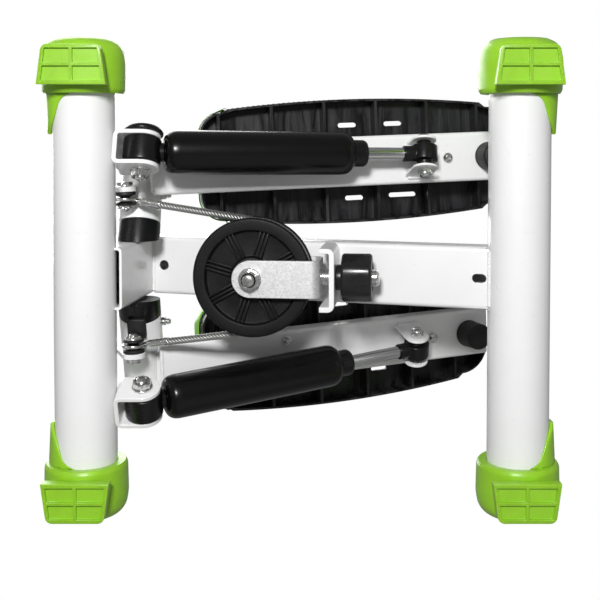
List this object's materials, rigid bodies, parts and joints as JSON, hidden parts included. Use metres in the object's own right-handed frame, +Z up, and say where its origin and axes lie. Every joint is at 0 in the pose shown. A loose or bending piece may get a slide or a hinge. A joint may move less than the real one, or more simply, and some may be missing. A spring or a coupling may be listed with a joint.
{
  "type": "twist stepper",
  "caption": "Low twist stepper with tilted pedal arms, cable and pulley link, and a hydraulic cylinder under each arm.",
  "frame": {"origin": "on the floor, under the middle of the machine's footprint", "axes": "+Z up; the towered end, where the pedals pivot, faces -Y; +X is the user's left"},
  "size_m": [0.44, 0.4786, 0.2793],
  "materials": {
    "white_paint": "white gloss powder coat",
    "foot_green": "lime green moulded plastic, satin",
    "trim_green": "green moulded plastic, satin",
    "black_plastic": "black moulded plastic",
    "pulley_plastic": "black nylon with a fine moulded grain",
    "knob_plastic": "black moulded plastic, semi-gloss",
    "sleeve_black": "smooth black sleeve, semi-matt",
    "black_rubber": "black rubber",
    "zinc_steel": "bright zinc-plated steel",
    "galvanised_steel": "galvanised strap steel",
    "wire_rope": "bare twisted steel strands",
    "chrome": "hard chrome"
  },
  "bodies": {
    "root": {"adjuster_plate": "white_paint", "adjuster_screw": "zinc_steel", "cable": "wire_rope", "central_beam": "white_paint", "front_cross_tube": "white_paint", "front_left_foot": "foot_green", "front_right_foot": "foot_green", "left_bracket_cap": "black_plastic", "left_cylinder_bolt": "zinc_steel", "left_cylinder_bracket": "white_paint", "left_pivot_bush": "black_plastic", "left_pivot_shaft": "zinc_steel", "pulley_bolt": "zinc_steel", "pulley_yoke": "galvanised_steel", "rear_cross_tube": "white_paint", "rear_left_foot": "foot_green", "rear_right_foot": "foot_green", "right_cylinder_bolt": "zinc_steel", "right_cylinder_bracket": "white_paint", "right_pivot_bush": "black_plastic", "right_pivot_shaft": "zinc_steel", "tower": "white_paint", "tower_end_cap": "black_plastic"},
    "left_pedal": {"left_arm": "white_paint", "left_bumper": "black_rubber", "left_cable_bolt": "zinc_steel", "left_cable_grommet": "black_rubber", "left_cable_lug": "white_paint", "left_pedal": "black_plastic", "left_pedal_screw": "zinc_steel", "left_pivot_tube": "white_paint", "left_rod_bolt": "zinc_steel", "left_rod_clevis": "white_paint", "left_toe_trim": "trim_green"},
    "left_cylinder": {"left_cylinder_eye": "black_rubber", "left_cylinder_gland": "black_plastic", "left_cylinder_sleeve": "sleeve_black"},
    "left_rod": {"left_piston_rod": "chrome", "left_rod_eye": "black_plastic"},
    "left_cable_end": {"left_cable_end": "zinc_steel"},
    "right_pedal": {"right_arm": "white_paint", "right_bumper": "black_rubber", "right_cable_bolt": "zinc_steel", "right_cable_grommet": "black_rubber", "right_cable_lug": "white_paint", "right_pedal": "black_plastic", "right_pedal_screw": "zinc_steel", "right_pivot_tube": "white_paint", "right_rod_bolt": "zinc_steel", "right_rod_clevis": "white_paint", "right_stop_pad": "black_rubber", "right_toe_trim": "trim_green"},
    "right_cylinder": {"right_cylinder_eye": "black_rubber", "right_cylinder_gland": "black_plastic", "right_cylinder_sleeve": "sleeve_black"},
    "right_rod": {"right_piston_rod": "chrome", "right_rod_eye": "black_plastic"},
    "right_cable_end": {"right_cable_end": "zinc_steel"},
    "pulley": {"pulley_wheel": "pulley_plastic"},
    "knob": {"adjuster_knob": "knob_plastic"}
  },
  "joints": [
    {"name": "left_pedal_pivot", "type": "hinge", "parent": "root", "child": "left_pedal", "pos_m": [0.098, -0.162, 0.13641], "axis": [0.9336, 0, 0.3584], "range_deg": [-8, 20], "deforming": ["cable"]},
    {"name": "right_pedal_pivot", "type": "hinge", "parent": "root", "child": "right_pedal", "pos_m": [-0.098, -0.162, 0.13641], "axis": [0.9336, 0, -0.3584], "range_deg": [-20, 8]},
    {"name": "left_cylinder_pivot", "type": "hinge", "parent": "root", "child": "left_cylinder", "pos_m": [0.1165, -0.1475, 0.05], "axis": [0.9232, 0, 0.3843], "range_deg": [-7.61, 18.95]},
    {"name": "left_rod_slide", "type": "slide", "parent": "left_cylinder", "child": "left_rod", "axis": [-0.0104, 0.9673, 0.2535], "range_m": [-0.01234, 0.0307]},
    {"name": "left_cable_swivel", "type": "hinge", "parent": "left_pedal", "child": "left_cable_end", "pos_m": [0.07074, -0.17075, 0.08983], "axis": [0.9336, 0, 0.3584], "range_deg": [-20.05, 8.05]},
    {"name": "right_cylinder_pivot", "type": "hinge", "parent": "root", "child": "right_cylinder", "pos_m": [-0.1165, -0.1475, 0.05], "axis": [0.9232, 0, -0.3843], "range_deg": [-19.05, 7.65]},
    {"name": "right_rod_slide", "type": "slide", "parent": "right_cylinder", "child": "right_rod", "axis": [0.0816, 0.9015, 0.4251], "range_m": [-0.0295, 0.01186]},
    {"name": "right_cable_swivel", "type": "hinge", "parent": "right_pedal", "child": "right_cable_end", "pos_m": [-0.07113, -0.16355, 0.08882], "axis": [0.9336, 0, -0.3584], "range_deg": [-8.05, 20.05]},
    {"name": "pulley_spin", "type": "hinge", "parent": "root", "child": "pulley", "pos_m": [0, -0.0455, 0.062], "axis": [0, 0.1045, 0.9945], "range_deg": [-5.25, 13.05]},
    {"name": "knob_turn", "type": "hinge", "parent": "root", "child": "knob", "pos_m": [0, 0.05122, 0.05183], "axis": [0, 0.9945, -0.1045], "range_deg": [-180, 180]}
  ],
  "couplings": [
    {"joint": "right_pedal_pivot", "follows": "left_pedal_pivot", "ratio": -1},
    {"joint": "left_cylinder_pivot", "follows": "left_pedal_pivot", "ratio": 0.945},
    {"joint": "left_rod_slide", "follows": "left_pedal_pivot", "m_per_rad": 0.087663},
    {"joint": "left_cable_swivel", "follows": "left_pedal_pivot", "ratio": -1},
    {"joint": "right_cylinder_pivot", "follows": "left_pedal_pivot", "ratio": -0.95},
    {"joint": "right_rod_slide", "follows": "left_pedal_pivot", "m_per_rad": -0.084225},
    {"joint": "right_cable_swivel", "follows": "left_pedal_pivot", "ratio": 1},
    {"joint": "pulley_spin", "follows": "left_pedal_pivot", "ratio": 0.65}
  ]
}
